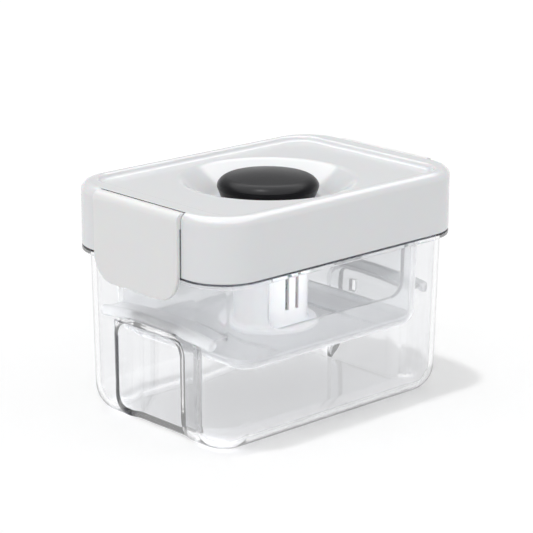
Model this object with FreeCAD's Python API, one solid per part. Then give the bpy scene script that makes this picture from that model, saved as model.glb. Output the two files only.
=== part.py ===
"""Tofu press: a spring-loaded press plate in a drainer basket, in a clear box with a latched lid.

Millimetres. The origin is the centre of the underside of the container. X runs along
the long side, Y along the short side and Z up. Each named part is one STEP file.
"""
import FreeCAD
import Part
import math
import os

V = FreeCAD.Vector

# Lid cover, the largest piece: it sets the plan of the press.
lid_length = 170.0
lid_width = 117.3
lid_corner_radius = 23.4
lid_skirt_height = 31.9
lid_edge_radius = 4.5
lid_wall = 2.2
lid_top_thickness = 2.0
lid_hem_radius = 0.8

# Panel sunk inside the rounded rim of the lid.
panel_side_rim = 6.45
panel_end_rim = 6.0
panel_depth = 2.8
panel_corner_radius = 13.0
panel_edge_rounding = 1.3
panel_foot_rounding = 1.6

# Round dish that the knob sits in.
dish_lip_radius = 44.4
dish_lip_rounding = 5.5
dish_floor_radius = 29.2
dish_floor_rounding = 7.0
dish_depth = 10.7
dish_shell = 2.0
dish_shell_spread = 1.6
dish_slit_radius = 40.4
dish_slit_length = 12.0
dish_slit_width = 0.9
dish_slit_depth = 0.8
dish_slit_bearing = 157.0
dish_slit_floor = 2.6

# Container.
container_rim_height = 88.0
container_top_inset = 4.25
container_foot_inset = 5.5
container_corner_radius = 19.0
container_wall = 2.5
container_floor = 3.0
container_foot_radius = 14.6
flange_thickness = 2.8
flange_edge_radius = 0.9

# Finger recess in each short end of the container.
recess_half_width = 24.0
recess_height = 53.5
recess_depth = 12.3
recess_corner_radius = 8.0
recess_inner_radius = 4.0
recess_mouth_radius = 0.8

# Drainer basket.
basket_end_gap = 1.7
basket_side_gap = 0.65
basket_corner_radius = 12.0
basket_wall = 2.4
basket_floor = 2.3
basket_foot_radius = 9.6
basket_foot_height = 38.3
basket_draft = 0.7
basket_lid_gap = 2.8
window_half_width = 46.5
window_sill_height = 57.7
window_corner_radius = 8.0
tab_end_gap = 1.0
tab_side_inset = 8.0
tab_crown_height = 3.7
tab_arch_rise = 2.9
tab_bead_radius = 2.75
tab_bead_end_rounding = 2.6
tab_bead_overhang = 3.0
tab_shelf_thickness = 2.3
tab_shelf_drop = 0.7
tab_notch_clearance = 1.6
drain_slot_length = 12.0
drain_slot_width = 2.4
drain_columns = 6
drain_rows = 4
drain_column_pitch = 16.5
drain_row_pitch = 17.0
spout_width = 4.4
spout_height = 6.5
spout_sill = 5.2

# Press plate.
plate_wall_gap = 0.6
plate_floor_gap = 0.4
plate_height = 4.3
plate_deck = 2.0
plate_rim = 2.0
plate_rib_offset = 33.0
plate_rib_width = 2.0
plate_rib_height = 1.7

# Plunger tube, carried on the plate.
tube_radius = 19.6
tube_wall = 2.0
tube_foot_radius = 25.0
tube_foot_thickness = 2.0
tube_foot_chamfer = 0.8
tube_foot_fillet = 1.2
tube_floor = 2.0
tube_slot_width = 2.2
tube_slot_offset = 3.05
tube_slot_foot = 8.3
slot_bearing = -6.4

# Knob: a rigid core with a soft cap.
knob_radius = 25.7
knob_foot_radius = 23.4
knob_height = 13.0
knob_crown_radius = 120.0
knob_shoulder_radius = 7.0
knob_edge_height = 7.7
knob_edge_inset = 0.25
knob_edge_rounding = 1.0
knob_edge_drop = 1.2
knob_edge_land = 0.12
knob_skin = 2.2
knob_dish_gap = 0.6
core_height = 5.4
core_floor = 2.0
core_plug_length = 4.6
core_plug_gap = 0.12
core_plug_wall = 2.0

# Spring bridge, fixed in the lid, that reaches into the tube through its slots.
bridge_ring_height = 7.4
bridge_ring_width = 5.4
bridge_ring_gap = 0.8
web_thickness = 1.4
web_height = 4.2
seat_gap = 1.6
seat_thickness = 2.0
seat_spigot_radius = 11.2
seat_spigot_length = 3.0
seat_spigot_wall = 1.6
web_plug_gap = 0.7

# Guide bush pressed into the collar of the liner.
bush_gap = 0.08
bush_wall = 1.9
bush_length = 6.4
bush_shoulder = 1.0
collar_wall = 2.2

# Press spring.
spring_radius = 13.3
spring_wire = 1.4
spring_middle_half_turns = 10
spring_end_turn_rise = 1.7

# Liner that closes the lid from below.
liner_gap = 0.15
liner_thickness = 2.0
liner_lift = 0.5
plug_rib_gap = 0.45
plug_rib_thickness = 1.6
plug_rib_depth = 2.6

# Screws through the liner into bosses of the cover.
screw_inset_x = 19.0
screw_inset_y = 19.65
boss_radius = 3.6
screw_shank_radius = 1.4
screw_head_radius = 2.7
screw_head_height = 1.6
screw_length = 11.0

# Latches.
latch_half_width = 31.0
latch_drop = 40.6
latch_thickness = 2.1
latch_corner_radius = 14.0
latch_edge_radius = 0.7
barrel_radius = 4.0
barrel_clearance = 0.4
barrel_backing = 1.8
latch_side_gap = 0.4
hinge_setback = 1.4
hinge_drop = 4.3
pin_radius = 0.9
pin_running_gap = 0.05
pin_bearing_length = 3.0
pin_end_wall = 1.0
hook_half_width = 13.0
hook_gap = 0.3
hook_height = 2.3
hook_wall_gap = 1.0
hook_taper = 1.3
face_relief = 1.0

# Sizes worked out from the ones above.
lid_half_x = lid_length / 2.0
lid_half_y = lid_width / 2.0
lid_top = container_rim_height + lid_skirt_height
panel_level = lid_top - panel_depth
screw_offset_x = lid_half_x - screw_inset_x
screw_offset_y = lid_half_y - screw_inset_y
dish_floor_level = lid_top - panel_depth - dish_depth
dish_underside = dish_floor_level - dish_shell
mouth_half_x = lid_half_x - container_top_inset - container_wall
mouth_half_y = lid_half_y - container_top_inset - container_wall
flange_underside = container_rim_height - flange_thickness
ledge_level = recess_height + container_wall
recess_floor_x = lid_half_x - container_foot_inset - recess_depth
basket_half_x = recess_floor_x - container_wall - basket_end_gap
basket_half_y = lid_half_y - container_foot_inset - container_wall - basket_side_gap
tab_tip_x = lid_half_x - container_foot_inset - container_wall - tab_end_gap
tab_half_width = basket_half_y - tab_side_inset
tab_crown_level = ledge_level + tab_crown_height
tab_arch_radius = (tab_half_width ** 2 + tab_arch_rise ** 2) / (2.0 * tab_arch_rise)
basket_top = container_rim_height - basket_lid_gap
basket_floor_level = basket_foot_height + basket_floor
plate_underside = basket_floor_level + plate_floor_gap
deck_level = plate_underside + plate_deck
plate_top = plate_underside + plate_height
tube_floor_level = deck_level + tube_floor
knob_foot_level = dish_floor_level + knob_dish_gap
tube_top = knob_foot_level
plug_foot_level = tube_top - core_plug_length
web_top = plug_foot_level - web_plug_gap
seat_underside = web_top - web_height
tube_bore = tube_radius - tube_wall
bush_outer_radius = tube_radius + bush_gap + bush_wall
collar_outer_radius = bush_outer_radius + collar_wall
bridge_ring_foot = dish_underside - bridge_ring_height
liner_underside = container_rim_height + liner_lift
liner_top = liner_underside + liner_thickness
hinge_x = lid_half_x - hinge_setback
hinge_z = lid_top - hinge_drop
latch_outer_x = hinge_x + barrel_radius
latch_foot_level = hinge_z - latch_drop
panel_half_x = hinge_x - barrel_radius - barrel_clearance - panel_end_rim
panel_half_y = lid_half_y - panel_side_rim
pocket_half_width = latch_half_width + latch_side_gap
pin_half_length = pocket_half_width + pin_bearing_length
cheek_half_width = pin_half_length + pin_end_wall


def plan_wire(half_x, half_y, radius, z):
    """Return the outline of a rounded rectangle about the Z axis."""
    straight_x = half_x - radius
    straight_y = half_y - radius
    edges = []
    for turn in range(4):
        angle = 90.0 * turn
        centre_x = straight_x if turn in (0, 3) else -straight_x
        centre_y = straight_y if turn in (0, 1) else -straight_y
        circle = Part.Circle(V(centre_x, centre_y, z), V(0, 0, 1), radius)
        arc = Part.ArcOfCircle(circle, math.radians(angle), math.radians(angle + 90.0))
        edges.append(arc.toShape())
    outline = []
    for turn in range(4):
        arc = edges[turn]
        following = edges[(turn + 1) % 4]
        outline.append(arc)
        outline.append(Part.makeLine(arc.valueAt(arc.LastParameter),
                                     following.valueAt(following.FirstParameter)))
    return Part.Wire(outline)


def plan_block(half_x, half_y, radius, foot, top):
    """Return an upright block with a rounded rectangle as its plan."""
    face = Part.Face(plan_wire(half_x, half_y, radius, foot))
    return face.extrude(V(0, 0, top - foot))


def tapered_block(foot_sizes, top_sizes, radius, foot, top):
    """Return a block that widens from its foot to its top, as a moulding does."""
    lower = plan_wire(foot_sizes[0], foot_sizes[1], radius, foot)
    upper = plan_wire(top_sizes[0], top_sizes[1], radius, top)
    return Part.makeLoft([lower, upper], True, True)


def level_edges(shape, level):
    """Return the edges that lie wholly at one height."""
    found = []
    for edge in shape.Edges:
        box = edge.BoundBox
        if abs(box.ZMin - level) < 0.001 and abs(box.ZMax - level) < 0.001:
            found.append(edge)
    return found


def box_between(low, high):
    """Return a box between two opposite corners."""
    return Part.makeBox(high[0] - low[0], high[1] - low[1], high[2] - low[2], V(*low))


def disc(radius, foot, top, x=0.0, y=0.0):
    """Return an upright round block."""
    return Part.makeCylinder(radius, top - foot, V(x, y, foot))


def ring(outer, inner, foot, top):
    """Return an upright ring about the Z axis."""
    return disc(outer, foot, top).cut(disc(inner, foot, top))


def bar_along_y(radius, x, z, half_length):
    """Return a round bar along Y."""
    return Part.makeCylinder(radius, 2.0 * half_length, V(x, -half_length, z), V(0, 1, 0))


def rounded_outline(points):
    """Return a closed outline in the XZ plane from (radius, height, rounding) points."""
    places = [V(point[0], 0, point[1]) for point in points]
    starts = []
    ends = []
    arcs = []
    for index, point in enumerate(points):
        corner = places[index]
        rounding = point[2] if len(point) > 2 else 0.0
        back = (places[index - 1] - corner).normalize()
        onward = (places[(index + 1) % len(places)] - corner).normalize()
        half_angle = back.getAngle(onward) / 2.0
        run = rounding / math.tan(half_angle)
        starts.append(corner + back * run)
        ends.append(corner + onward * run)
        inward = (back + onward).normalize()
        middle = corner + inward * (rounding / math.sin(half_angle) - rounding)
        arcs.append(Part.Arc(starts[-1], middle, ends[-1]).toShape() if rounding > 0.0 else None)
    edges = []
    for index, arc in enumerate(arcs):
        if arc is not None:
            edges.append(arc)
        edges.append(Part.makeLine(ends[index], starts[(index + 1) % len(places)]))
    return Part.Wire(edges)


def turned(points):
    """Return the solid turned from a closed profile of (radius, height, rounding) points."""
    return Part.Face(rounded_outline(points)).revolve(V(0, 0, 0), V(0, 0, 1), 360.0)


def both_ends(shape):
    """Return a shape at the +X end and the same shape at the -X end."""
    other = shape.copy()
    other.rotate(V(0, 0, 0), V(0, 0, 1), 180.0)
    return [shape, other]


def arch_block(half_width, height, corner, x_from, x_to, foot):
    """Return a bar along X whose section is an upright arch with rounded shoulders."""
    left = V(x_from, -half_width, foot)
    right = V(x_from, half_width, foot)
    left_spring = V(x_from, -half_width, height - corner)
    right_spring = V(x_from, half_width, height - corner)
    left_crown = V(x_from, -half_width + corner, height)
    right_crown = V(x_from, half_width - corner, height)
    slack = corner * (1.0 - math.sqrt(0.5))
    left_mid = V(x_from, -half_width + slack, height - slack)
    right_mid = V(x_from, half_width - slack, height - slack)
    wire = Part.Wire([
        Part.makeLine(left, left_spring),
        Part.Arc(left_spring, left_mid, left_crown).toShape(),
        Part.makeLine(left_crown, right_crown),
        Part.Arc(right_crown, right_mid, right_spring).toShape(),
        Part.makeLine(right_spring, right),
        Part.makeLine(right, left),
    ])
    return Part.Face(wire).extrude(V(x_to - x_from, 0, 0))


def recess_block(growth):
    """Return the space of the +X finger recess, grown on every side by one amount."""
    deep_x = recess_floor_x - growth
    block = arch_block(recess_half_width + growth, recess_height + growth,
                       recess_corner_radius + growth, deep_x, lid_half_x + 5.0, -5.0)
    deep_edges = []
    for edge in block.Edges:
        bounds = edge.BoundBox
        if bounds.XMax < deep_x + 0.001 and bounds.ZMax > 0.0:
            deep_edges.append(edge)
    return block.makeFillet(recess_inner_radius + growth, deep_edges)


def make_outer_container():
    """Clear box with rounded foot, finger recesses and a rim flange."""
    top_x = lid_half_x - container_top_inset
    top_y = lid_half_y - container_top_inset
    foot_x = lid_half_x - container_foot_inset
    foot_y = lid_half_y - container_foot_inset
    rim = container_rim_height
    body = tapered_block((foot_x, foot_y), (top_x, top_y), container_corner_radius, 0.0, rim)
    body = body.makeFillet(container_foot_radius, level_edges(body, 0.0))
    wall = container_wall
    hollow = tapered_block((foot_x - wall, foot_y - wall), (top_x - wall, top_y - wall),
                           container_corner_radius - wall, container_floor, rim)
    hollow = hollow.makeFillet(container_foot_radius - wall, level_edges(hollow, container_floor))
    lift = plan_block(top_x - wall, top_y - wall, container_corner_radius - wall, rim, rim + 5.0)
    hollow = hollow.fuse(lift)
    flange = plan_block(lid_half_x, lid_half_y, lid_corner_radius, flange_underside, rim)
    flange = flange.makeFillet(flange_edge_radius, level_edges(flange, flange_underside))
    for space, wider in zip(both_ends(recess_block(0.0)), both_ends(recess_block(wall))):
        body = body.cut(space)
        hollow = hollow.cut(wider)
    body = body.makeFillet(recess_mouth_radius, recess_mouth_edges(body))
    return body.fuse(flange).cut(hollow).removeSplitter()


def recess_mouth_edges(body):
    """Return the edges where the recesses break through the short end walls."""
    found = []
    nearest_wall = lid_half_x - container_foot_inset - 0.5
    for edge in body.Edges:
        bounds = edge.BoundBox
        at_end = min(abs(bounds.XMin), abs(bounds.XMax)) > nearest_wall
        in_mouth = max(abs(bounds.YMin), abs(bounds.YMax)) < recess_half_width + 0.001
        in_height = bounds.ZMin > container_foot_radius * 0.5 and bounds.ZMax < recess_height + 0.001
        if at_end and in_mouth and in_height:
            found.append(edge)
    return found


def basket_hollow(gap):
    """Return the inner space of the basket, drawn in by a gap on every side."""
    wall = basket_wall + gap
    foot = basket_floor_level + gap
    top_x = basket_half_x - wall
    top_y = basket_half_y - wall
    hollow = tapered_block((top_x - basket_draft, top_y - basket_draft), (top_x, top_y),
                           basket_corner_radius - wall, foot, basket_top)
    return hollow.makeFillet(basket_foot_radius - wall, level_edges(hollow, foot))


def window_block():
    """Return the space of the U-shaped cut-outs through both long walls."""
    sill = arch_block(window_half_width, -window_sill_height, window_corner_radius,
                      -basket_half_y - 5.0, basket_half_y + 5.0, -basket_top - 5.0)
    sill.rotate(V(0, 0, 0), V(1, 0, 0), 180.0)
    sill.rotate(V(0, 0, 0), V(0, 0, 1), 90.0)
    return sill


def drain_slot(x, y):
    """Return the space of one round-ended slot through the basket floor."""
    radius = drain_slot_width / 2.0
    reach = drain_slot_length / 2.0 - radius
    foot = basket_foot_height - 1.0
    top = basket_floor_level + 1.0
    slot = box_between((x - reach, y - radius, foot), (x + reach, y + radius, top))
    return slot.fuse(disc(radius, foot, top, x - reach, y)).fuse(disc(radius, foot, top, x + reach, y))


def arched_bar(section, half_width):
    """Return a bar along Y from its section in the XZ plane, arched as the tabs are."""
    axis_foot = V(0, 0, tab_crown_level - tab_arch_radius)
    half_angle = math.degrees(math.asin(half_width / tab_arch_radius))
    face = Part.Face(section)
    face.rotate(axis_foot, V(1, 0, 0), -half_angle)
    return face.revolve(axis_foot, V(1, 0, 0), 2.0 * half_angle)


def make_tab():
    """Return the +X tab: an arched shelf and a round bead that rests on the recess ledge."""
    bead_x = tab_tip_x - tab_bead_radius
    ring_edge = Part.makeCircle(tab_bead_radius, V(bead_x, 0, tab_crown_level - tab_bead_radius),
                                V(0, 1, 0))
    bead = arched_bar(Part.Wire([ring_edge]), tab_half_width)
    end_edges = []
    for edge in bead.Edges:
        bounds = edge.BoundBox
        if bounds.YMax - bounds.YMin < tab_bead_radius:
            end_edges.append(edge)
    bead = bead.makeFillet(tab_bead_end_rounding, end_edges)
    shelf_top = tab_crown_level - tab_shelf_drop
    shelf_root = basket_half_x - basket_wall / 2.0 - basket_draft
    section = rounded_outline([(shelf_root, shelf_top - tab_shelf_thickness),
                               (bead_x, shelf_top - tab_shelf_thickness),
                               (bead_x, shelf_top), (shelf_root, shelf_top)])
    tab = bead.fuse(arched_bar(section, tab_half_width - tab_bead_overhang))
    gap = container_wall + tab_notch_clearance
    notch = arch_block(recess_half_width + gap, ledge_level, recess_corner_radius + gap,
                       recess_floor_x - gap, tab_tip_x + 1.0, 0.0)
    return tab.cut(notch)


def make_drainer_basket():
    """Basket with drain slots, cut-out long walls and an arched tab at each end."""
    body = tapered_block((basket_half_x - basket_draft, basket_half_y - basket_draft),
                         (basket_half_x, basket_half_y), basket_corner_radius,
                         basket_foot_height, basket_top)
    body = body.makeFillet(basket_foot_radius, level_edges(body, basket_foot_height))
    for tab in both_ends(make_tab()):
        body = body.fuse(tab)
    body = body.cut(basket_hollow(0.0)).cut(window_block())
    first_x = -drain_column_pitch * (drain_columns - 1) / 2.0
    first_y = -drain_row_pitch * (drain_rows - 1) / 2.0
    for column in range(drain_columns):
        for row in range(drain_rows):
            body = body.cut(drain_slot(first_x + column * drain_column_pitch,
                                       first_y + row * drain_row_pitch))
    spout_foot = basket_floor_level + spout_sill
    spouts = box_between((-basket_half_x - 1.0, -spout_width / 2.0, spout_foot),
                         (basket_half_x + 1.0, spout_width / 2.0, spout_foot + spout_height))
    return body.cut(spouts).removeSplitter()


def make_press_plate():
    """Tray-shaped plate that follows the rounded floor of the basket."""
    outside = basket_hollow(plate_wall_gap)
    outside.translate(V(0, 0, plate_underside - outside.BoundBox.ZMin))
    inside = basket_hollow(plate_wall_gap + plate_rim)
    inside.translate(V(0, 0, deck_level - inside.BoundBox.ZMin))
    above = box_between((-lid_length, -lid_length, plate_top), (lid_length, lid_length, lid_top * 2))
    plate = outside.cut(inside).cut(above)
    half_rib = plate_rib_width / 2.0
    rib_reach = basket_half_y
    for offset in (-plate_rib_offset, plate_rib_offset):
        rib = box_between((offset - half_rib, -rib_reach, deck_level - plate_deck / 2.0),
                          (offset + half_rib, rib_reach, deck_level + plate_rib_height))
        plate = plate.fuse(rib.common(outside))
    return plate.removeSplitter()


def slot_pair(foot, top, width, reach):
    """Return two upright blades, one each side of a line across the tube."""
    blades = []
    for offset in (-tube_slot_offset, tube_slot_offset):
        blade = box_between((offset - width / 2.0, -reach, foot), (offset + width / 2.0, reach, top))
        blade.rotate(V(0, 0, 0), V(0, 0, 1), slot_bearing)
        blades.append(blade)
    return blades


def make_plunger_tube():
    """Slotted tube with a floor and a foot flange, fixed on the press plate."""
    foot_top = deck_level + tube_foot_thickness
    tube = turned([(0.0, deck_level), (tube_foot_radius, deck_level),
                   (tube_foot_radius, foot_top - tube_foot_chamfer),
                   (tube_foot_radius - tube_foot_chamfer, foot_top),
                   (tube_radius, foot_top, tube_foot_fillet),
                   (tube_radius, tube_top), (tube_bore, tube_top),
                   (tube_bore, tube_floor_level), (0.0, tube_floor_level)])
    slot_foot = foot_top + tube_slot_foot
    core = disc(tube_bore - 1.0, deck_level, tube_top + 1.0)
    for blade in slot_pair(slot_foot, tube_top + 1.0, tube_slot_width, tube_radius + 1.0):
        tube = tube.cut(blade.cut(core))
    return tube


def make_spring_bridge():
    """Ring under the dish with two webs across the tube and a seat for the spring."""
    inner = tube_radius + bridge_ring_gap
    body = ring(inner + bridge_ring_width, inner, bridge_ring_foot, dish_underside)
    seat_radius = tube_bore - seat_gap
    body = body.fuse(disc(seat_radius, seat_underside, seat_underside + seat_thickness))
    body = body.fuse(ring(seat_spigot_radius, seat_spigot_radius - seat_spigot_wall,
                          seat_underside - seat_spigot_length, seat_underside))
    within = disc(inner + bridge_ring_width, seat_underside, web_top)
    for blade in slot_pair(seat_underside, web_top, web_thickness, inner + bridge_ring_width):
        body = body.fuse(blade.common(within))
    return body.removeSplitter()


def make_guide_bush():
    """Bush that the tube slides in, with a shoulder on the collar's end."""
    inner = tube_radius + bush_gap
    top = bridge_ring_foot
    foot = top - bush_length
    shoulder_radius = bush_outer_radius + collar_wall / 2.0
    return turned([(inner, foot), (bush_outer_radius, foot), (bush_outer_radius, top - bush_shoulder),
                   (shoulder_radius, top - bush_shoulder), (shoulder_radius, top), (inner, top)])


def half_turn(side, foot, rise):
    """Return half a turn of spring wire that starts at one side and ends at the other."""
    middle = V(0, 0, foot + rise / 2.0)
    section = Part.makeCircle(spring_wire / 2.0, V(side * spring_radius, 0, foot), V(0, 1, 0))
    return Part.Face(Part.Wire([section])).revolve(middle, V(side * rise / 2.0, 0, spring_radius), 180.0)


def make_press_spring():
    """Compression spring with closed ends, between the tube floor and the bridge seat."""
    height = seat_underside - tube_floor_level - spring_wire
    end_rises = [0.0, spring_end_turn_rise]
    middle_rise = (height - 2.0 * sum(end_rises)) / spring_middle_half_turns
    rises = end_rises + [middle_rise] * spring_middle_half_turns + end_rises[::-1]
    level = tube_floor_level + spring_wire / 2.0
    side = 1.0
    turns = []
    for rise in rises:
        turns.append(half_turn(side, level, rise))
        level = level + rise
        side = -side
    return turns[0].multiFuse(turns[1:])


def make_knob_core():
    """Rigid disc under the soft cap, with a plug in the top of the tube."""
    outer = knob_foot_radius - knob_skin
    foot = knob_foot_level
    plug = tube_bore - core_plug_gap
    return turned([(plug - core_plug_wall, plug_foot_level), (plug, plug_foot_level), (plug, foot),
                   (outer, foot), (outer, foot + core_height), (0.0, foot + core_height),
                   (0.0, foot + core_floor), (plug - core_plug_wall, foot + core_floor)])


def make_knob_cap():
    """Soft domed cap over the knob core, with a narrow rounded edge round the dome."""
    foot = knob_foot_level
    inner = knob_foot_radius - knob_skin
    core_top = foot + core_height
    edge = V(knob_radius - knob_edge_inset, 0, foot + knob_edge_height)
    crown = V(0, 0, foot + knob_height)
    rise = crown.z - edge.z
    centre = V(0, 0, crown.z - knob_crown_radius)
    reach = knob_crown_radius - knob_shoulder_radius
    span = math.hypot(edge.x, knob_crown_radius - rise)
    spread = math.acos((reach ** 2 + span ** 2 - knob_shoulder_radius ** 2) / (2.0 * reach * span))
    lean = math.atan2(edge.x, knob_crown_radius - rise) - spread
    outward = V(math.sin(lean), 0, math.cos(lean))
    shoulder = centre + outward * knob_crown_radius
    crown_middle = centre + V(math.sin(lean / 2.0), 0, math.cos(lean / 2.0)) * knob_crown_radius
    turn_centre = centre + outward * reach
    turn_middle = (shoulder + edge) * 0.5 - turn_centre
    turn_middle = turn_centre + turn_middle.normalize() * knob_shoulder_radius
    side_middle = V(knob_radius, 0, edge.z - knob_edge_rounding)
    side_foot = V(knob_radius - knob_edge_land, 0, edge.z - knob_edge_rounding - knob_edge_drop)
    wire = Part.Wire([
        Part.makeLine(V(0, 0, core_top), crown),
        Part.Arc(crown, crown_middle, shoulder).toShape(),
        Part.Arc(shoulder, turn_middle, edge).toShape(),
        Part.Arc(edge, side_middle, side_foot).toShape(),
        Part.makeLine(side_foot, V(knob_foot_radius, 0, foot)),
        Part.makeLine(V(knob_foot_radius, 0, foot), V(inner, 0, foot)),
        Part.makeLine(V(inner, 0, foot), V(inner, 0, core_top)),
        Part.makeLine(V(inner, 0, core_top), V(0, 0, core_top)),
    ])
    return Part.Face(wire).revolve(V(0, 0, 0), V(0, 0, 1), 360.0)


def dish_block(spread, drop):
    """Return the dish space, moved outwards and down to make the space of its shell."""
    ceiling = lid_top + 1.0
    rim = dish_lip_radius + dish_lip_rounding + spread
    return turned([(0.0, dish_floor_level - drop),
                   (dish_floor_radius + spread, dish_floor_level - drop, dish_floor_rounding),
                   (dish_lip_radius + spread, panel_level - drop, dish_lip_rounding),
                   (rim, panel_level - drop), (rim, ceiling), (0.0, ceiling)])


def sink_panel(cover):
    """Return the cover with the panel sunk into it, rounded at its edge and its foot."""
    panel = plan_block(panel_half_x, panel_half_y, panel_corner_radius, panel_level, lid_top + 1.0)
    cover = cover.cut(panel.makeFillet(panel_foot_rounding, level_edges(panel, panel_level)))
    inner_edges = []
    for edge in level_edges(cover, lid_top):
        bounds = edge.BoundBox
        in_length = max(bounds.XMax, -bounds.XMin) < panel_half_x + 0.001
        in_width = max(bounds.YMax, -bounds.YMin) < panel_half_y + 0.001
        if in_length and in_width:
            inner_edges.append(edge)
    return cover.makeFillet(panel_edge_rounding, inner_edges)


def make_lid_cover():
    """Deep lid shell with a rounded rim, a sunk panel, the dish and two latch pockets."""
    foot = container_rim_height
    cover = plan_block(lid_half_x, lid_half_y, lid_corner_radius, foot, lid_top)
    cover = cover.makeFillet(lid_edge_radius, level_edges(cover, lid_top))
    cover = cover.makeFillet(lid_hem_radius, level_edges(cover, foot))
    cover = sink_panel(cover).cut(dish_block(0.0, 0.0))
    hollow = plan_block(lid_half_x - lid_wall, lid_half_y - lid_wall, lid_corner_radius - lid_wall,
                        foot, panel_level - lid_top_thickness)
    hollow = hollow.cut(dish_block(dish_shell_spread, dish_shell))
    backing_radius = barrel_radius + barrel_clearance + barrel_backing
    backing = bar_along_y(backing_radius, hinge_x, hinge_z, cheek_half_width)
    face_backing = box_between((lid_half_x - face_relief - lid_wall, -cheek_half_width, foot),
                               (lid_half_x, cheek_half_width, hinge_z))
    for block in both_ends(backing.fuse(face_backing)):
        hollow = hollow.cut(block)
    for x in (-screw_offset_x, screw_offset_x):
        for y in (-screw_offset_y, screw_offset_y):
            boss = disc(boss_radius, liner_top, lid_top, x, y)
            bore = disc(screw_shank_radius, liner_top - 1.0, liner_underside + screw_length, x, y)
            hollow = hollow.cut(boss).fuse(bore)
    cover = cover.cut(hollow)
    clearance = barrel_radius + barrel_clearance
    barrel_space = bar_along_y(clearance, hinge_x, hinge_z, pocket_half_width)
    above = box_between((hinge_x, -pocket_half_width, hinge_z),
                        (lid_half_x + 5.0, pocket_half_width, lid_top + 1.0))
    relief = box_between((lid_half_x - face_relief, -pocket_half_width, foot - 1.0),
                         (lid_half_x + 5.0, pocket_half_width, hinge_z))
    pin_hole = bar_along_y(pin_radius, hinge_x, hinge_z, pin_half_length)
    for block in both_ends(barrel_space.fuse(above).fuse(relief).fuse(pin_hole)):
        cover = cover.cut(block)
    cover = cover.cut(disc(tube_radius + bridge_ring_gap, foot, lid_top))
    return cover.cut(dish_slit()).removeSplitter()


def dish_slit():
    """Return the short narrow groove in the slope of the dish."""
    slit = box_between((dish_slit_radius - dish_slit_width / 2.0, -dish_slit_length / 2.0,
                        dish_floor_level + dish_slit_floor),
                       (dish_slit_radius + dish_slit_width / 2.0, dish_slit_length / 2.0, lid_top))
    slope = dish_block(0.0, dish_slit_depth)
    slit.rotate(V(0, 0, 0), V(0, 0, 1), dish_slit_bearing)
    return slit.common(slope)


def make_lid_liner():
    """Plate that closes the lid from below, with the collar that holds the guide bush."""
    inset = lid_wall + liner_gap
    liner = plan_block(lid_half_x - inset, lid_half_y - inset, lid_corner_radius - inset,
                       liner_underside, liner_top)
    relief_x = lid_half_x - face_relief - lid_wall - liner_gap
    cheek_half = cheek_half_width + liner_gap
    for side in (-1.0, 1.0):
        near = min(side * relief_x, side * lid_half_x)
        far = max(side * relief_x, side * lid_half_x)
        liner = liner.cut(box_between((near, -cheek_half, liner_underside - 1.0),
                                      (far, cheek_half, liner_top + 1.0)))
    rib_x = mouth_half_x - plug_rib_gap
    rib_y = mouth_half_y - plug_rib_gap
    rib_corner = container_corner_radius - container_wall - plug_rib_gap
    rib_foot = liner_underside - plug_rib_depth
    rib = plan_block(rib_x, rib_y, rib_corner, rib_foot, liner_underside)
    rib = rib.cut(plan_block(rib_x - plug_rib_thickness, rib_y - plug_rib_thickness,
                             rib_corner - plug_rib_thickness, rib_foot, liner_underside))
    liner = liner.fuse(rib)
    liner = liner.fuse(disc(collar_outer_radius, liner_underside, bridge_ring_foot))
    bush_foot = bridge_ring_foot - bush_length
    liner = liner.cut(disc(bush_outer_radius, bush_foot, bridge_ring_foot))
    liner = liner.cut(disc(bush_outer_radius + collar_wall / 2.0, bridge_ring_foot - bush_shoulder,
                           bridge_ring_foot))
    liner = liner.cut(disc(tube_radius + bridge_ring_gap, liner_underside, bush_foot))
    for x in (-screw_offset_x, screw_offset_x):
        for y in (-screw_offset_y, screw_offset_y):
            liner = liner.cut(disc(screw_shank_radius, liner_underside, liner_top, x, y))
            liner = liner.cut(disc(screw_head_radius, liner_underside,
                                   liner_underside + screw_head_height, x, y))
    return liner.removeSplitter()


def make_liner_screw(x, y):
    """Pan-headed screw that holds the liner in the cover."""
    head_top = liner_underside + screw_head_height
    screw = disc(screw_head_radius, liner_underside, head_top, x, y)
    return screw.fuse(disc(screw_shank_radius, head_top, liner_underside + screw_length, x, y))


def make_latch():
    """Flap of the +X end, with its hinge barrel at the top and its hook behind the foot."""
    inner_x = latch_outer_x - latch_thickness
    half = latch_half_width
    corner = latch_corner_radius
    flap = plan_block(half, (hinge_z - latch_foot_level) / 2.0 + corner, corner, 0.0, latch_thickness)
    flap.rotate(V(0, 0, 0), V(1, 0, 0), 90.0)
    flap.rotate(V(0, 0, 0), V(0, 0, 1), 90.0)
    flap.translate(V(inner_x, 0, (hinge_z + latch_foot_level) / 2.0 + corner))
    face_edges = []
    for edge in flap.Edges:
        bounds = edge.BoundBox
        if bounds.XMin > latch_outer_x - 0.001:
            face_edges.append(edge)
    flap = flap.makeFillet(latch_edge_radius, face_edges)
    above = box_between((inner_x - 1.0, -half - 1.0, hinge_z),
                        (latch_outer_x + 1.0, half + 1.0, hinge_z + latch_drop))
    flap = flap.cut(above)
    barrel = bar_along_y(barrel_radius, hinge_x, hinge_z, half)
    bore = bar_along_y(pin_radius + pin_running_gap, hinge_x, hinge_z, half + 1.0)
    tip_x = lid_half_x - container_top_inset + hook_wall_gap
    hook_top = flange_underside - hook_gap
    hook_foot = hook_top - hook_height
    hook_profile = Part.makePolygon([V(inner_x, -hook_half_width, hook_top),
                                     V(tip_x, -hook_half_width, hook_top),
                                     V(tip_x, -hook_half_width, hook_foot + hook_taper),
                                     V(inner_x, -hook_half_width, hook_foot - hook_taper),
                                     V(inner_x, -hook_half_width, hook_top)])
    hook = Part.Face(hook_profile).extrude(V(0, 2.0 * hook_half_width, 0))
    return flap.fuse(barrel).fuse(hook).cut(bore).removeSplitter()


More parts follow.
